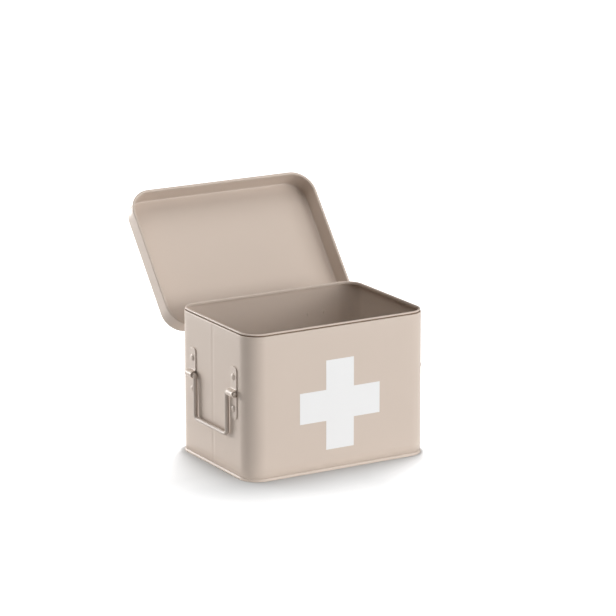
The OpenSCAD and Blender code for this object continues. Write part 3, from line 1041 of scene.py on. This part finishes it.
def make_rim_painted_shade():
    group, _, result = new_group("rim_painted_shade", (), (("Mask", "NodeSocketFloat"),))
    place = object_place(group)
    height = along_axes(group, place)["Z"]
    flat = vector_node(group, "MULTIPLY", place, (1, 1, 0))
    outside = outline_distance(group, flat, BODY_CENTRE)
    normal = group.nodes.new("ShaderNodeNewGeometry").outputs["Normal"]
    outwards = vector_node(group, "SUBTRACT", flat, BODY_CENTRE)
    facing = vector_node(group, "DOT_PRODUCT", normal, outwards)
    mask = math_node(group, "GREATER_THAN", height, CREASE_LOW_Z)
    for test in (
        math_node(group, "LESS_THAN", height, CREASE_HIGH_Z),
        math_node(group, "LESS_THAN", outside, -CREASE_INSET),
        math_node(group, "GREATER_THAN", facing, FACING_INWARDS),
    ):
        mask = math_node(group, "MULTIPLY", mask, test)
    group.links.new(mask, result.inputs["Mask"])
    return group


RIM_PAINTED_SHADE = make_rim_painted_shade()
print(f"{RIM_PAINTED_SHADE.name}: {CREASE_LOW_Z / MM:.1f} to {CREASE_HIGH_Z / MM:.1f} mm high")

# %% [markdown]
# ### Paints
#
# Sheets, brackets, hinges and rivets all wear the same beige, each with a slightly different
# gloss, so that small parts stand out from the sheet behind them. The bails wear that beige too,
# but painted darker, as painted shade on rods whose front sides face no lamp.
# The cross is white, but only to 0.8, because a whiter paint would clip under the lamps. Each
# piece says its slot, so the paints are handed out in one loop at the end.

# %% Paints
BEIGE = (0.60, 0.507, 0.436)
WHITE = (0.80, 0.80, 0.80)
# The bails' beige is darkened as painted shade, for rods whose front sides face no lamp.
BAIL_PAINTED_SHADE = 0.8
# How much painted shade takes from each colour channel in the groove under the roll.
CREASE_PAINTED_SHADE = (0.56, 0.66, 0.74)
PEEL_HEIGHT = 0.15


def paint(name, colour, roughness, tone=0.03, specular=0.5, crease_shade=False):
    material = bpy.data.materials.new(name)
    material.use_nodes = True
    tree = material.node_tree
    shader = tree.nodes["Principled BSDF"]
    skin = tree.nodes.new("ShaderNodeGroup")
    skin.node_tree = PAINT_SKIN
    skin.inputs["Paint"].default_value = (*colour, 1)
    skin.inputs["Roughness"].default_value = roughness
    skin.inputs["Peel height"].default_value = PEEL_HEIGHT
    skin.inputs["Tone change"].default_value = tone
    shader.inputs["Specular IOR Level"].default_value = specular
    coat = skin.outputs["Color"]
    # With crease set, the colour is darkened in the groove under the roll as painted shade.
    if crease_shade:
        mask = tree.nodes.new("ShaderNodeGroup")
        mask.node_tree = RIM_PAINTED_SHADE
        shade_loss = vector_node(tree, "MULTIPLY", mask.outputs["Mask"], CREASE_PAINTED_SHADE)
        unshaded_share = vector_node(tree, "SUBTRACT", (1, 1, 1), shade_loss)
        coat = vector_node(tree, "MULTIPLY", coat, unshaded_share)
    tree.links.new(coat, shader.inputs["Base Color"])
    tree.links.new(skin.outputs["Roughness"], shader.inputs["Roughness"])
    tree.links.new(skin.outputs["Normal"], shader.inputs["Normal"])
    return material


PAINTS = {
    # The body's beige is darkened in the groove under the roll, as painted shade.
    "body_paint": paint("beige_enamel_groove_shade", BEIGE, 0.34, specular=0.3, crease_shade=True),
    "cross_paint": paint("white_enamel", WHITE, 0.34, tone=0.01),
    "hinge_paint": paint("hinge_enamel", BEIGE, 0.40),
    "bracket_paint": paint("bracket_enamel", BEIGE, 0.34),
    "rivet_paint": paint("rivet_enamel", BEIGE, 0.44),
    "bail_paint": paint("rod_enamel_painted_shade", [BAIL_PAINTED_SHADE * c for c in BEIGE], 0.40),
}
painted = 0
for obj in bpy.context.scene.objects:
    slot = obj.get("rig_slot")
    if obj.type == "MESH" and slot in PAINTS:
        obj.data.materials.clear()
        obj.data.materials.append(PAINTS[slot])
        painted += 1
print(f"paints: {len(PAINTS)} on {painted} pieces")

# %% [markdown]
# ## Studio
#
# The box stands on a white floor that runs on to the horizon. A wide lamp stands low in front,
# towards the right, and another low behind on the left, so the front and the left side are
# evenly lit and the corner between them, which faces neither, falls darker. A smaller lamp stands
# high in front, where the open lid's skirt doesn't shade the plate behind it. The last one hangs
# above, a little to the left, for the upward faces and the inside of the lid's right skirt. The
# low lamps give long, weak shadows, and the high ones give the real part of the soft shadow round
# the foot, which the floor deepens with painted shadow.

# %% [markdown]
# ### Floor
#
# A studio floor is lit until it is pure white, and only the shadow stays grey. Here the object
# must not get that much light, so the camera sees a glow on top of the floor's own shade, and it
# sees that shade darker than the rays that light the box do. So the shadow round the box is
# partly real shade and partly painted shadow. The glow is nothing at the foot of the box and
# grows ever more slowly with the distance, which lets the painted shadow fade as a real one does.
# The distance counts from an outline that is shifted a little to the left, where the
# photographed shadow is widest. Towards the right and the back that shadow narrows to nothing, so
# the distance is divided by a width that falls with X and another that falls with Y. Close to the
# foot the glow always fades out, so a thin contact shadow, partly painted, runs all round. The
# glow is capped, so mirror images of the floor stay white. The rays that light the box see a
# plain floor that glows a little close to the foot, though it is no lamp, and throws that painted
# light up at the walls, as a white table would.

# %% Glow of the floor
SHADOW_CENTRE = (-5 * MM, MID_Y, 0)
GLOW_POWER = 0.9
GLOW_AT_A_METRE = 5.67
MOST_GLOW = 1.0
NARROWS_RIGHT = (8 * MM, 105 * MM)
NARROWS_BEHIND = (46 * MM, 137 * MM)
LEAST_WIDTH = 0.05
SHADOW_EDGE = 2 * MM
CONTACT = 5 * MM


def shadow_width(tree, coordinate, reach):
    """Falls evenly from 1 to LEAST_WIDTH where the coordinate passes through reach."""
    width = tree.nodes.new("ShaderNodeMapRange")
    width.inputs["From Min"].default_value, width.inputs["From Max"].default_value = reach
    width.inputs["To Min"].default_value = 1.0
    width.inputs["To Max"].default_value = LEAST_WIDTH
    tree.links.new(coordinate, width.inputs["Value"])
    return width.outputs["Result"]


def distance_outside(tree, place, centre):
    return math_node(tree, "MAXIMUM", outline_distance(tree, place, centre), 0)


def floor_glow(tree):
    place = object_place(tree)
    axes = along_axes(tree, place)
    rightwards = shadow_width(tree, axes["X"], NARROWS_RIGHT)
    backwards = shadow_width(tree, axes["Y"], NARROWS_BEHIND)
    width = math_node(tree, "MULTIPLY", rightwards, backwards)
    outside = distance_outside(tree, place, SHADOW_CENTRE)
    from_edge = math_node(tree, "ADD", outside, SHADOW_EDGE)
    slowing = math_node(tree, "POWER", math_node(tree, "DIVIDE", from_edge, width), GLOW_POWER)
    rising = math_node(tree, "MULTIPLY", slowing, GLOW_AT_A_METRE)
    glow = math_node(tree, "MINIMUM", rising, MOST_GLOW)
    from_foot = distance_outside(tree, place, BODY_CENTRE)
    contact = math_node(tree, "MINIMUM", math_node(tree, "DIVIDE", from_foot, CONTACT), 1)
    return math_node(tree, "MULTIPLY", glow, contact)


# %% Light from the floor and the rays that see it
FOOT_LIGHT = 0.36
FOOT_REACH = 50 * MM


def foot_light(tree):
    """Falls from FOOT_LIGHT at the foot of the box to nothing at FOOT_REACH."""
    outside = distance_outside(tree, object_place(tree), BODY_CENTRE)
    share = math_node(tree, "SUBTRACT", 1, math_node(tree, "DIVIDE", outside, FOOT_REACH))
    return math_node(tree, "MULTIPLY", math_node(tree, "MAXIMUM", share, 0), FOOT_LIGHT)


def seen_directly(tree):
    """1 for the rays of the camera and of mirror images, 0 for the rays that light the box."""
    path = tree.nodes.new("ShaderNodeLightPath")
    mirrored = math_node(
        tree, "MAXIMUM", path.outputs["Is Glossy Ray"], path.outputs["Is Transmission Ray"],
    )
    return math_node(tree, "MAXIMUM", path.outputs["Is Camera Ray"], mirrored)


# %% Floor
FLOOR_HALF = 12.0
FLOOR_FACES = 8
FLOOR_WHITE = 0.85
FLOOR_SEEN = 0.55
FLOOR_ROUGHNESS = 0.9


def floor_material():
    material = bpy.data.materials.new("floor_white")
    material.use_nodes = True
    tree = material.node_tree
    shader = tree.nodes["Principled BSDF"]
    shader.inputs["Roughness"].default_value = FLOOR_ROUGHNESS
    shader.inputs["Specular IOR Level"].default_value = 0.0
    shader.inputs["Emission Color"].default_value = (1, 1, 1, 1)
    seen = seen_directly(tree)
    unseen = math_node(tree, "SUBTRACT", 1, seen)
    glow = math_node(tree, "MULTIPLY", seen, floor_glow(tree))
    lit = math_node(tree, "MULTIPLY", unseen, foot_light(tree))
    tree.links.new(math_node(tree, "ADD", glow, lit), shader.inputs["Emission Strength"])
    # The camera sees the floor darker than the lighting rays do, which deepens the shadow round
    # the box as painted shadow.
    darker = math_node(tree, "MULTIPLY", seen, FLOOR_WHITE - FLOOR_SEEN)
    shade = math_node(tree, "SUBTRACT", FLOOR_WHITE, darker)
    tree.links.new(shade, shader.inputs["Base Color"])
    return material


bm = bmesh.new()
bmesh.ops.create_grid(bm, x_segments=FLOOR_FACES, y_segments=FLOOR_FACES, size=FLOOR_HALF)
mesh = bpy.data.meshes.new("floor")
bm.to_mesh(mesh)
bm.free()
mesh.materials.append(floor_material())
floor = bpy.data.objects.new("floor", mesh)
bpy.context.scene.collection.objects.link(floor)
print(f"floor: {2 * FLOOR_HALF:.0f} m square")

# %% [markdown]
# ### World
#
# The world is what a ray meets beyond the floor. A bright world would light every side alike and
# wash the forms out, so it gives next to no light. Only the camera's own rays see it white, and
# that makes the background.

# %% World
ROOM_LIGHT = 0.01

world = bpy.data.worlds.new("studio")
bpy.context.scene.world = world
world.use_nodes = True
tree = world.node_tree
sky = tree.nodes["Background"]
sky.inputs["Color"].default_value = (1, 1, 1, 1)
path = tree.nodes.new("ShaderNodeLightPath")
level = tree.nodes.new("ShaderNodeMapRange")
level.inputs["To Min"].default_value = ROOM_LIGHT
level.inputs["To Max"].default_value = 1.0
tree.links.new(path.outputs["Is Camera Ray"], level.inputs["Value"])
tree.links.new(level.outputs["Result"], sky.inputs["Strength"])
print(f"world: {ROOM_LIGHT} to light with, 1 to look at")

# %% [markdown]
# ### Lamps
#
# Soft light comes from a large lamp, so each lamp is a flat area of a metre or more. It is placed
# by its direction and distance and always faces the middle of the box, which makes it easy to
# move one lamp without turning it by hand.

# %% Lamps
def soft_lamp(name, azimuth, elevation, distance, width, height, watts):
    """A flat lamp that faces the middle of the box. Azimuth 0 is in front of the box and 90
    to its right."""
    a, e = math.radians(azimuth), math.radians(elevation)
    away = Vector((math.sin(a) * math.cos(e), -math.cos(a) * math.cos(e), math.sin(e)))
    lamp = bpy.data.lights.new(name, "AREA")
    lamp.shape = "RECTANGLE"
    lamp.size = width
    lamp.size_y = height
    lamp.energy = watts
    obj = bpy.data.objects.new(name, lamp)
    obj.rotation_mode = "QUATERNION"
    obj.rotation_quaternion = away.to_track_quat("Z", "Y")
    obj.location = Vector((0, MID_Y, BODY_H / 2)) + away * distance
    bpy.context.scene.collection.objects.link(obj)
    print(f"{name}: {watts} W, {width} x {height} m, {distance} m away")


soft_lamp("lamp_front", 34, 10, distance=3.0, width=2.4, height=1.1, watts=51)
soft_lamp("lamp_front_high", 16, 33, distance=2.6, width=1.6, height=1.6, watts=20)
soft_lamp("lamp_back_left", 205, 9, distance=3.0, width=2.0, height=1.0, watts=93)
soft_lamp("lamp_above", 250, 78, distance=1.8, width=1.2, height=1.2, watts=18)

# %% [markdown]
# ### Camera
#
# The camera stands in front of the box on its left and a little above it. It was fitted to the
# edges of the photographed box: a long lens from far off keeps upright edges nearly parallel, as
# they are there. It is first moved to the side and upwards along its own axes to frame the box,
# so that the lens needs no shift, and then rolled by a tenth of a degree.

# %% Camera
CAMERA_AZIMUTH = math.radians(30.4)
CAMERA_ELEVATION = math.radians(14.5)
CAMERA_ROLL = math.radians(-0.1)
CAMERA_DISTANCE = 3.3616
CAMERA_AIM = Vector((0, MID_Y, 78.1 * MM))
CAMERA_RIGHT = 5.55 * MM
CAMERA_UP = 71.06 * MM
LENS = 191.5
SENSOR = 36

a, e = CAMERA_AZIMUTH, CAMERA_ELEVATION
ahead = Vector((math.sin(a) * math.cos(e), math.cos(a) * math.cos(e), -math.sin(e)))
right = Vector((math.cos(a), -math.sin(a), 0))
up = right.cross(ahead)
level_right = right * math.cos(CAMERA_ROLL) + up * math.sin(CAMERA_ROLL)
level_up = up * math.cos(CAMERA_ROLL) - right * math.sin(CAMERA_ROLL)
facing = Matrix((level_right, level_up, -ahead)).transposed()

camera = bpy.data.objects.new("camera", bpy.data.cameras.new("camera"))
camera.data.lens = LENS
camera.data.sensor_width = SENSOR
camera.data.clip_start = 0.1
camera.data.clip_end = 50
camera.location = CAMERA_AIM - ahead * CAMERA_DISTANCE + right * CAMERA_RIGHT + up * CAMERA_UP
camera.rotation_mode = "QUATERNION"
camera.rotation_quaternion = facing.to_quaternion()
bpy.context.scene.collection.objects.link(camera)
bpy.context.scene.camera = camera
bpy.context.scene.view_settings.view_transform = "Standard"
print(f"camera: {LENS} mm lens, {CAMERA_DISTANCE:.2f} m away")
